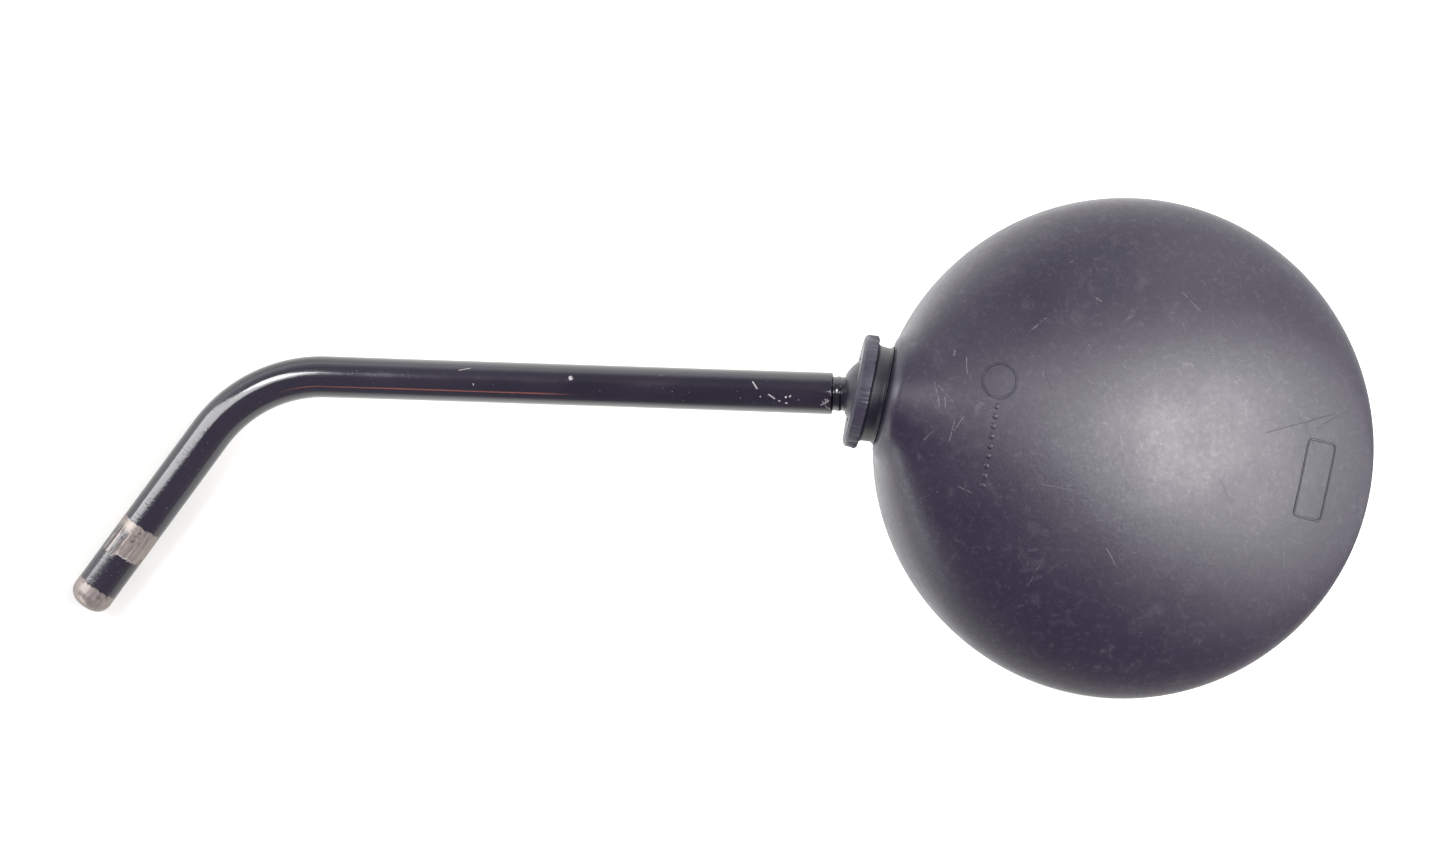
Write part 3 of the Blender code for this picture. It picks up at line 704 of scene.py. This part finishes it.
def arch(x, radius, band, bottom, inset, steps, fillet):
    """The cross section at x as (scale, y, z): upright sides on a rounded foot, then half an ellipse."""
    half_width = math.sqrt(radius * radius - x * x)
    height = max(crest(x) - inset - band, 0.05 * MM)
    foot = []
    for i in range(FILLET_STEPS + 1 if fillet else 1):
        turn = math.pi / 2 * i / FILLET_STEPS
        scale = 1.0 - fillet * (1.0 - math.sin(turn)) / radius
        foot.append((scale, bottom + fillet * (1.0 - math.cos(turn))))
    points = [(scale, half_width, z) for scale, z in foot]
    upper = []
    for i in range(steps + 1):
        turn = math.pi * i / steps
        upper.append((half_width * math.cos(turn), band + height * math.sin(turn)))
    if x < COLLAR_END + 2 * COLLAR_RADIUS:
        upper = [with_collar(point, x, inset) for point in upper]
    points += [(1.0, y, z) for y, z in upper]
    points += [(scale, -half_width, z) for scale, z in reversed(foot)]
    return points


def pulled_in(point, distance):
    """Moves a point of a cross section towards the neck's axis, but leaves the foot on the floor."""
    scale, y, z = point
    rise = z - BALL_HEIGHT
    share = distance / math.hypot(y, rise)
    return (scale, y * (1.0 - share), BALL_HEIGHT + rise * (1.0 - share * min(z / (2 * MM), 1.0)))


def hood_mesh(name, face, radius, band, bottom, inset, stations, steps, foot_fillet=0.0, face_fillet=0.0):
    """A hood of cross sections from the flat face at the neck to the far rim."""
    first = math.acos(-(face + face_fillet) / radius)
    sections = []
    for i in range(FILLET_STEPS if face_fillet else 0):
        turn = math.pi / 2 * i / FILLET_STEPS
        x = face + face_fillet * (1.0 - math.cos(turn))
        section = arch(x, radius, band, bottom, inset, steps, foot_fillet)
        distance = face_fillet * (1.0 - math.sin(turn))
        sections.append((x, [pulled_in(point, distance) for point in section]))
    for i in range(stations + 1):
        x = -radius * math.cos(first + (LAST_STATION - first) * i / stations)
        sections.append((x, arch(x, radius, band, bottom, inset, steps, foot_fillet)))
    work = bmesh.new()
    rings = []
    for x, section in sections:
        share = min((x - face) / (4 * MM), 1.0)
        rings.append([
            work.verts.new((x * (1.0 - (1.0 - scale) * share), y * scale, z))
            for scale, y, z in section])
    for near, far in zip(rings, rings[1:]):
        for i in range(len(near)):
            j = (i + 1) % len(near)
            work.faces.new((near[i], near[j], far[j], far[i]))
    work.faces.new(list(reversed(rings[0])))
    work.faces.new(rings[-1])
    return finish_mesh(name, work)


def draped(work, outline, levels):
    """Raised moulding on the shell's back. outline gives a place for a share 0..1 of its length and an
    offset to one side; levels are (offset, height above the skin)."""
    count = 160
    rings = []
    for offset, height in levels:
        ring = []
        for i in range(count):
            x, y = outline(i / count, offset)
            ring.append(work.verts.new((x, y, skin_height(x, y) + height)))
        rings.append(ring)
    join_rings(work, rings, True)


def ring_outline(x, y, radius):
    def place(share, offset):
        angle = 2 * math.pi * share
        return (x + (radius + offset) * math.cos(angle), y + (radius + offset) * math.sin(angle))
    return place


def frame_outline(x, y, half_x, half_y, corner):
    """A rectangle with round corners, walked at an even pace."""
    runs = []
    for sign_x, sign_y, start in ((1, 1, 0.0), (-1, 1, 0.5), (-1, -1, 1.0), (1, -1, 1.5)):
        runs.append((x + sign_x * (half_x - corner), y + sign_y * (half_y - corner), start * math.pi))

    def place(share, offset):
        quarter = min(int(share * 4), 3)
        within = share * 4 - quarter
        cx, cy, start = runs[quarter]
        nx, ny, _ = runs[(quarter + 1) % 4]
        turn = start + math.pi / 2 * min(within * 2, 1.0)
        slide = max(within * 2 - 1.0, 0.0)
        cx += (nx - cx) * slide
        cy += (ny - cy) * slide
        return (cx + (corner + offset) * math.cos(turn), cy + (corner + offset) * math.sin(turn))
    return place


def pip(work, x, y, radius, height):
    """A small round raised dot."""
    centre = Vector((x, y, skin_height(x, y)))
    slope_x = skin_height(x + MM, y) - skin_height(x - MM, y)
    slope_y = skin_height(x, y + MM) - skin_height(x, y - MM)
    turn = Vector((-slope_x, -slope_y, 2 * MM)).normalized().to_track_quat("Z", "Y")
    levels = ((1.15, -0.4 * MM), (1.0, 0.0), (0.85, 0.7 * height), (0.6, 0.95 * height), (0.0, height))
    rings = []
    for share, rise in levels:
        sides = 24 if share else 1
        ring = []
        for i in range(sides):
            angle = 2 * math.pi * i / sides
            spoke = (radius * share * math.cos(angle), radius * share * math.sin(angle), rise)
            ring.append(work.verts.new(centre + turn @ Vector(spoke)))
        rings.append(ring)
    join_rings(work, rings, False)
    work.faces.new(rings[0])


def moulding_mesh():
    """Plain mouldings where the real shell has its marks: a ring, a row of dots and a frame, all blank."""
    work = bmesh.new()
    half_rib = [(0.16 * MM, 0.2 * MM), (0.30 * MM, 0.0), (0.36 * MM, -0.4 * MM)]
    rib = [(-offset, height) for offset, height in reversed(half_rib)] + half_rib
    draped(work, ring_outline(-35.8 * MM, 8.9 * MM, 4.1 * MM), rib)
    for i in range(9):
        pip(work, (-35.3 + 0.1 * i) * MM, (2.8 - 2.4 * i) * MM, 0.75 * MM, 0.22 * MM)
    draped(work, frame_outline(46.4 * MM, 2.0 * MM, 3.7 * MM, 9.6 * MM, 1.2 * MM), rib)
    return finish_mesh("moulding", work)


def shell_mesh():
    outer = hood_mesh(
        "outer", FACE_X, HEAD_RADIUS, RIM_BAND, bottom=0.0, inset=0.0, stations=220, steps=128,
        foot_fillet=RIM_FILLET, face_fillet=FACE_FILLET)
    cavity = hood_mesh(
        "cavity", FACE_X + WALL, HEAD_RADIUS - WALL, INNER_BAND, bottom=LIP_THICKNESS, inset=WALL,
        stations=48, steps=36)
    far = 2 * CREST_HEIGHT
    bosses = [rod_mesh("boss", x * MM, y * MM, BOSS_RADIUS, BOSS_BOTTOM, far) for x, y in BOSS_PLACES]
    bores = [rod_mesh("bore", x * MM, y * MM, BOSS_BORE, 0.0, BOSS_BORE_TOP) for x, y in BOSS_PLACES]
    opening = rod_mesh("opening", 0.0, 0.0, LIP_RADIUS, -LIP_THICKNESS, 2 * LIP_THICKNESS, 192)
    neck_hole = rod_mesh("neck_hole", 0.0, 0.0, HOLE_RADIUS, -6 * MM, 6 * MM, 96)
    neck_hole.transform(head_place.inverted() @ neck_place)
    shell = cut(outer, [cut(cavity, bosses), opening, neck_hole, *bores])
    work = bmesh.new()
    work.from_mesh(shell)
    work.from_mesh(moulding_mesh())
    work.to_mesh(shell)
    work.free()
    return shell


# Scratches on the shell's back: both ends (x, y) in the head's own axes, and width, in mm
PALE_SCRATCHES = (
    ((-41.9, -0.4), (-43.5, -4.3), 0.22),
    ((-43.8, -1.9), (-44.1, -6.9), 0.26),
    ((-48.3, -5.3), (-50.1, -8.0), 0.30),
    ((-50.6, 5.7), (-48.0, 0.6), 0.24),
    ((-49.6, 5.3), (-45.3, 2.3), 0.28),
    ((-47.4, 3.0), (-46.6, 0.8), 0.26),
    ((-44.4, 13.2), (-43.5, 9.2), 0.26),
    ((-47.3, 14.2), (-47.4, 13.0), 0.5),
    ((-53.2, -19.6), (-51.6, -19.0), 0.34),
    ((-39.5, -17.0), (-36.2, -17.8), 0.30),
    ((-20.3, -12.4), (-11.7, -12.4), 0.18),
    ((-18.0, -37.1), (-15.6, -28.3), 0.20),
    ((-1.6, -24.4), (2.2, -28.3), 0.24),
    ((42.1, -15.6), (46.6, -25.1), 0.20),
    ((-17.9, 34.6), (-15.1, 33.2), 0.45),
    ((-31.0, 22.0), (-27.5, 26.5), 0.20),
    ((4.0, 40.0), (9.5, 36.5), 0.22),
    ((22.0, -2.0), (27.0, -7.5), 0.20),
)
DARK_SCRATCHES = (
    ((-25.7, 14.4), (-22.8, 9.4), 0.24),
    ((31.8, 11.2), (48.4, 19.4), 0.26),
    ((44.3, 14.8), (51.9, 21.2), 0.20),
    ((38.4, 18.2), (45.2, 10.3), 0.18),
)


def on_head(x, y):
    """A place on the shell's scratch plane, from millimetres in the head's own axes."""
    place = head_place @ Vector((x * MM, y * MM, 0.0))
    return (place.x, place.y, 0.0)


def shell_plastic():
    material, tree, shader = new_material("shell_plastic", Specular_IOR_Level=0.5)
    place = coordinates(tree)
    flat = vector_maths(tree, "MULTIPLY", place, (1.0, 1.0, 0.0))

    grain = noise_of(tree, place, 2400.0, 4.0, 0.65)
    leather = noise_of(tree, place, 700.0, 4.0, 0.6, 0.4)
    cloud = noise_of(tree, place, 60.0, 4.0, 0.6)
    scuff = noise_of(tree, place, 190.0, 6.0, 0.72, 0.8)
    scuffed = span(tree, scuff, 0.52, 0.72)
    mottle = noise_of(tree, place, 650.0, 6.0, 0.8, 0.3)
    patches = span(tree, noise_of(tree, place, 330.0, 5.0, 0.75, 0.6), 0.60, 0.70)
    cells = add(tree, "TexVoronoi", {"Vector": place, "Scale": 230.0})
    chosen = span(tree, add(tree, "SeparateColor", {0: cells.outputs["Color"]}).outputs[0], 0.80, 0.81)
    fleck = times(tree, chosen, span(tree, cells.outputs["Distance"], 0.045, 0.02))

    wavy = noise_of(tree, place, 120.0, 2.0, 0.5)
    bent = vector_maths(tree, "ADD", flat, scaled(tree, (1.0 * MM, 1.0 * MM, 0.0), wavy))
    pale, dark = (
        most(tree, *(
            scratch(tree, bent, on_head(*a), on_head(*b), width * MM) for a, b, width in scratches))
        for scratches in (PALE_SCRATCHES, DARK_SCRATCHES))
    pale = times(tree, pale, span(tree, noise_of(tree, place, 700.0, 3.0, 0.6), 0.36, 0.56))
    hair = noise_of(tree, stretched(tree, place, (1.0, 0.06, 0.06)), 1500.0, 2.0, 0.5)
    hair = times(tree, span(tree, hair, 0.72, 0.77), span(tree, scuff, 0.5, 0.65))

    colour = blend_colour(tree, cloud, (0.0055, 0.0032, 0.0120), (0.0085, 0.0058, 0.0150))
    colour = tinted(tree, colour, scuffed, (0.028, 0.0245, 0.034), 0.5)
    colour = tinted(tree, colour, span(tree, mottle, 0.50, 0.72), (0.026, 0.022, 0.033))
    colour = tinted(tree, colour, patches, (0.050, 0.046, 0.054), 0.5)
    colour = tinted(tree, colour, fleck, (0.14, 0.14, 0.14), 0.6)
    colour = tinted(tree, colour, pale, (0.085, 0.080, 0.086), 0.8)
    colour = tinted(tree, colour, dark, (0.002, 0.002, 0.003), 0.5)
    colour = tinted(tree, colour, hair, (0.075, 0.072, 0.078), 0.2)

    roughness = span(tree, cloud, 0.3, 0.7, 0.38, 0.43)
    roughness = maths(tree, "MULTIPLY_ADD", scuffed, 0.06, roughness)
    roughness = maths(tree, "ADD", roughness, span(tree, mottle, 0.35, 0.65, 0.022, -0.022))
    roughness = maths(tree, "MULTIPLY_ADD", patches, -0.01, roughness)

    normal = bumped(tree, cloud, 0.10 * MM)
    normal = bumped(tree, leather, 0.028 * MM, normal)
    normal = bumped(tree, grain, 0.020 * MM, normal)
    normal = bumped(tree, opposite(tree, most(tree, pale, dark)), 0.03 * MM, normal)
    feed(tree, shader, Base_Color=colour, Roughness=roughness, Normal=normal)
    return material


def make_shell():
    return new_piece(
        "hood_shell", shell_mesh(), head_place, shell_plastic(), "head", "shell_plastic", "shell")


# ---- the glass

def mirror_silver():
    """Silvering behind clear glass, with smears, pinholes and a dark, aged edge."""
    material, tree, shader = new_material(
        "mirror_silver", Metallic=1.0, Coat_Weight=1.0, Coat_Roughness=0.02)
    place = coordinates(tree)
    smear = noise_of(tree, stretched(tree, place, (1.0, 0.4, 1.0)), 90.0, 5.0, 0.65)
    speck = span(tree, noise_of(tree, place, 1400.0, 1.0, 0.4), 0.74, 0.78)
    across = vector_maths(tree, "SUBTRACT", place, tuple(head_middle))
    across = vector_maths(tree, "MULTIPLY", across, (1.0, 1.0, 0.0))
    radius = vector_maths(tree, "LENGTH", across, output="Value")
    ageing = maths(tree, "MULTIPLY_ADD", smear, 2.0 * MM, radius)
    dark_edge = span(tree, ageing, GLASS_RADIUS - 0.4 * MM, GLASS_RADIUS + 0.9 * MM)
    colour = blend_colour(tree, smear, (0.36, 0.385, 0.40), (0.30, 0.325, 0.34))
    colour = tinted(tree, colour, dark_edge, (0.09, 0.095, 0.09))
    colour = tinted(tree, colour, speck, (0.18, 0.18, 0.18))
    roughness = span(tree, smear, 0.45, 0.75, 0.015, 0.07)
    roughness = maths(tree, "MULTIPLY_ADD", speck, 0.4, roughness)
    feed(tree, shader, Base_Color=colour, Roughness=roughness)
    return material


def glass_front(radius):
    """Height of the glass's front, which bulges down."""
    return GLASS_LOWEST + radius * radius / (2 * GLASS_CURVATURE)


def make_glass():
    steps = 24
    inner = GLASS_RADIUS - 0.8 * MM
    front = [(inner * i / steps, glass_front(inner * i / steps)) for i in range(steps + 1)]
    back = [(r, z + GLASS_THICKNESS) for r, z in reversed(front)]
    low, high = front[-1][1], back[0][1]
    edge = [
        (GLASS_RADIUS - 0.35 * MM, low + 0.12 * MM),
        (GLASS_RADIUS - 0.08 * MM, low + 0.40 * MM),
        (GLASS_RADIUS, low + 0.8 * MM),
        (GLASS_RADIUS, high - 0.5 * MM),
        (GLASS_RADIUS - 0.3 * MM, high - 0.12 * MM),
    ]
    mesh = lathe("convex_glass", front + edge + back, 192)
    return new_piece(
        "convex_glass", mesh, head_place, mirror_silver(), "head", "mirror_glass", "mirror_glass")


# ---- materials of the pieces inside the shell

def zinc_plate():
    material, tree, shader = new_material("zinc_plate", Metallic=1.0)
    place = coordinates(tree)
    spangle = add(tree, "TexVoronoi", {"Vector": place, "Scale": 420.0}).outputs["Color"]
    tone = add(tree, "SeparateColor", {0: spangle}).outputs[0]
    haze = noise_of(tree, place, 260.0, 5.0, 0.65)
    colour = blend_colour(tree, tone, (0.50, 0.51, 0.50), (0.68, 0.69, 0.67))
    colour = tinted(tree, colour, span(tree, haze, 0.55, 0.75), (0.42, 0.41, 0.37))
    roughness = span(tree, haze, 0.3, 0.75, 0.24, 0.46)
    feed(tree, shader, Base_Color=colour, Roughness=roughness, Normal=bumped(tree, haze, 0.01 * MM))
    return material


def turned_steel():
    material, tree, shader = new_material("turned_steel", Metallic=1.0)
    place = coordinates(tree)
    lines = noise_of(tree, stretched(tree, place, (1.0, 0.02, 0.02)), 5000.0, 2.0, 0.5)
    grease = noise_of(tree, place, 350.0, 3.0, 0.6)
    colour = blend_colour(tree, span(tree, grease, 0.5, 0.7), (0.52, 0.50, 0.47), (0.26, 0.22, 0.15))
    roughness = span(tree, grease, 0.35, 0.7, 0.28, 0.12)
    feed(tree, shader, Base_Color=colour, Roughness=roughness, Normal=bumped(tree, lines, 0.003 * MM))
    return material


def moulded_nylon(name, dark, light):
    material, tree, shader = new_material(
        name, Specular_IOR_Level=0.5, Subsurface_Weight=0.05, Subsurface_Scale=1.0 * MM)
    place = coordinates(tree)
    cloud = noise_of(tree, place, 240.0, 4.0, 0.6)
    fibre = noise_of(tree, stretched(tree, place, (1.0, 0.15, 0.3)), 2600.0, 3.0, 0.6)
    colour = blend_colour(tree, cloud, dark, light)
    roughness = span(tree, fibre, 0.3, 0.7, 0.42, 0.58)
    feed(tree, shader, Base_Color=colour, Roughness=roughness, Normal=bumped(tree, fibre, 0.01 * MM))
    return material


def foam():
    material, tree, shader = new_material(
        "pad_foam", Roughness=0.95, Specular_IOR_Level=0.2, Sheen_Weight=0.2)
    place = coordinates(tree)
    cells = add(tree, "TexVoronoi", {"Vector": place, "Scale": 1600.0}).outputs["Distance"]
    shade = noise_of(tree, place, 150.0, 3.0, 0.6)
    colour = blend_colour(tree, shade, (0.15, 0.15, 0.155), (0.24, 0.24, 0.245))
    # painted shade: darker in the middle of each cell, where the bump sinks a pore
    colour = tinted(tree, colour, span(tree, cells, 0.5, 0.1), (0.08, 0.08, 0.085))
    feed(tree, shader, Base_Color=colour, Normal=bumped(tree, cells, 0.15 * MM))
    return material


def dress_inner_nodes():
    """Better materials for the CAD nodes that nothing replaces."""
    white = moulded_nylon("liner_nylon", (0.66, 0.63, 0.54), (0.78, 0.76, 0.69))
    black = moulded_nylon("socket_nylon", (0.016, 0.016, 0.018), (0.028, 0.028, 0.031))
    looks = {
        "stem_ball": turned_steel(),
        "ball_liner": white,
        "socket_upper": black,
        "socket_lower": black,
        "glass_pad": foam(),
    }
    zinc = zinc_plate()
    for name, node in frame["nodes"].items():
        if node.hide_render:
            continue
        node.data.materials.clear()
        node.data.materials.append(looks.get(name, zinc))


# ---- camera, floor, lights and world

CAMERA_HEIGHT = 750.0 * MM  # above the floor
CAMERA_ROLL = math.radians(1.943)
CAMERA_LENS = 75.1
CAMERA_BACK = 38.28 * MM  # from the ball, along the picture's own right
CAMERA_DOWN = 9.36 * MM  # and down the picture
FLOOR_REACH = 6.0  # from its middle to each side, in metres
FLOOR_GAP = 0.02 * MM


def make_camera():
    right = Vector((math.cos(CAMERA_ROLL), math.sin(CAMERA_ROLL), 0.0))
    up = Vector((-math.sin(CAMERA_ROLL), math.cos(CAMERA_ROLL), 0.0))
    data = bpy.data.cameras.new("camera")
    data.sensor_width = 36.0
    data.lens = CAMERA_LENS
    data.clip_start = 0.01
    camera = bpy.data.objects.new("camera", data)
    bpy.context.scene.collection.objects.link(camera)
    place = ball - right * CAMERA_BACK - up * CAMERA_DOWN
    camera.location = (place.x, place.y, floor_z + CAMERA_HEIGHT)
    camera.rotation_euler = (0.0, 0.0, CAMERA_ROLL)
    bpy.context.scene.camera = camera


def make_floor():
    """A brightly lit white table. It glows less on the leg's side, so that the leg's shadow shows."""
    material, tree, shader = new_material(
        "white_table", Roughness=0.6, Specular_IOR_Level=0.3, Emission_Strength=1.0)
    place = coordinates(tree)
    axes = add(tree, "SeparateXYZ", {0: place}).outputs
    right = span(tree, axes["X"], -235 * MM, -165 * MM)
    above = span(tree, axes["Y"], -75 * MM, -45 * MM)
    glow = maths(tree, "MULTIPLY_ADD", right, above, 0.3)
    shade = noise_of(tree, place, 6.0, 3.0, 0.5)
    colour = blend_colour(tree, shade, (0.42, 0.42, 0.39), (0.45, 0.45, 0.42))
    feed(tree, shader, Base_Color=colour, Emission_Color=glow)
    work = bmesh.new()
    bmesh.ops.create_grid(work, x_segments=1, y_segments=1, size=FLOOR_REACH)
    floor = bpy.data.objects.new("white_table", finish_mesh("white_table", work))
    bpy.context.scene.collection.objects.link(floor)
    floor.data.materials.append(material)
    floor.location = head_middle - Vector((0.0, 0.0, FLOOR_GAP))


# name, azimuth (0 is along +X and 90 along +Y) and elevation in degrees, size in metres, radiance
LIGHTS = (
    ("key", -0.5, 48.0, (0.38, 0.46), 28.0),
    ("key_low", -4.0, 30.0, (0.56, 0.30), 9.0),
    ("key_top", 32.0, 72.0, (0.25, 0.35), 10.0),
    ("side_low", 155.0, 41.0, (0.34, 1.20), 9.5),
    ("side_high", 138.0, 53.0, (0.20, 0.36), 22.0),
    ("rim", 214.0, 8.0, (0.70, 0.42), 5.5),
    ("far", 48.0, 29.0, (0.50, 0.40), 2.8),
)
LIGHT_DISTANCE = 1.2  # metres
KEY_COLOUR = (1.0, 0.995, 0.985)
FILL_COLOUR = (0.99, 0.995, 1.0)
LIT_PLACE = Vector((130.0 * MM, 30.0 * MM, floor_z))  # the lights face this place


def make_light(name, azimuth, elevation, size, radiance):
    """A soft rectangular light."""
    data = bpy.data.lights.new(name, "AREA")
    data.shape = "RECTANGLE"
    data.size, data.size_y = size
    data.energy = radiance * math.pi * size[0] * size[1]
    data.color = KEY_COLOUR if name.startswith("key") else FILL_COLOUR
    light = bpy.data.objects.new(name, data)
    bpy.context.scene.collection.objects.link(light)
    turn, rise = math.radians(azimuth), math.radians(elevation)
    towards = Vector((math.cos(turn) * math.cos(rise), math.sin(turn) * math.cos(rise), math.sin(rise)))
    light.location = LIT_PLACE + towards * LIGHT_DISTANCE
    light.rotation_euler = towards.to_track_quat("Z", "Y").to_euler()


def make_world():
    """Soft surroundings: bright low down on the +Y side, dim violet overhead."""
    world = bpy.data.worlds.new("studio")
    bpy.context.scene.world = world
    world.use_nodes = True
    tree = world.node_tree
    axes = add(tree, "SeparateXYZ", {0: coordinates(tree, "Generated")}).outputs
    low = blend_colour(tree, span(tree, axes["Y"], -1.0, 0.8), (0.50, 0.48, 0.56), (2.4, 2.42, 2.5))
    high = blend_colour(tree, span(tree, axes["Y"], 0.1, 0.45), (0.38, 0.34, 0.47), (0.62, 0.59, 0.70))
    colour = blend_colour(tree, span(tree, axes["Z"], 0.0, 0.62), low, high)
    tree.links.new(colour, tree.nodes["Background"].inputs["Color"])


bpy.context.scene.view_settings.view_transform = "Standard"
make_camera()
make_floor()
for light in LIGHTS:
    make_light(*light)
make_world()
make_stem()
make_dust_cap()
make_grommet()
make_shell()
make_glass()
dress_inner_nodes()
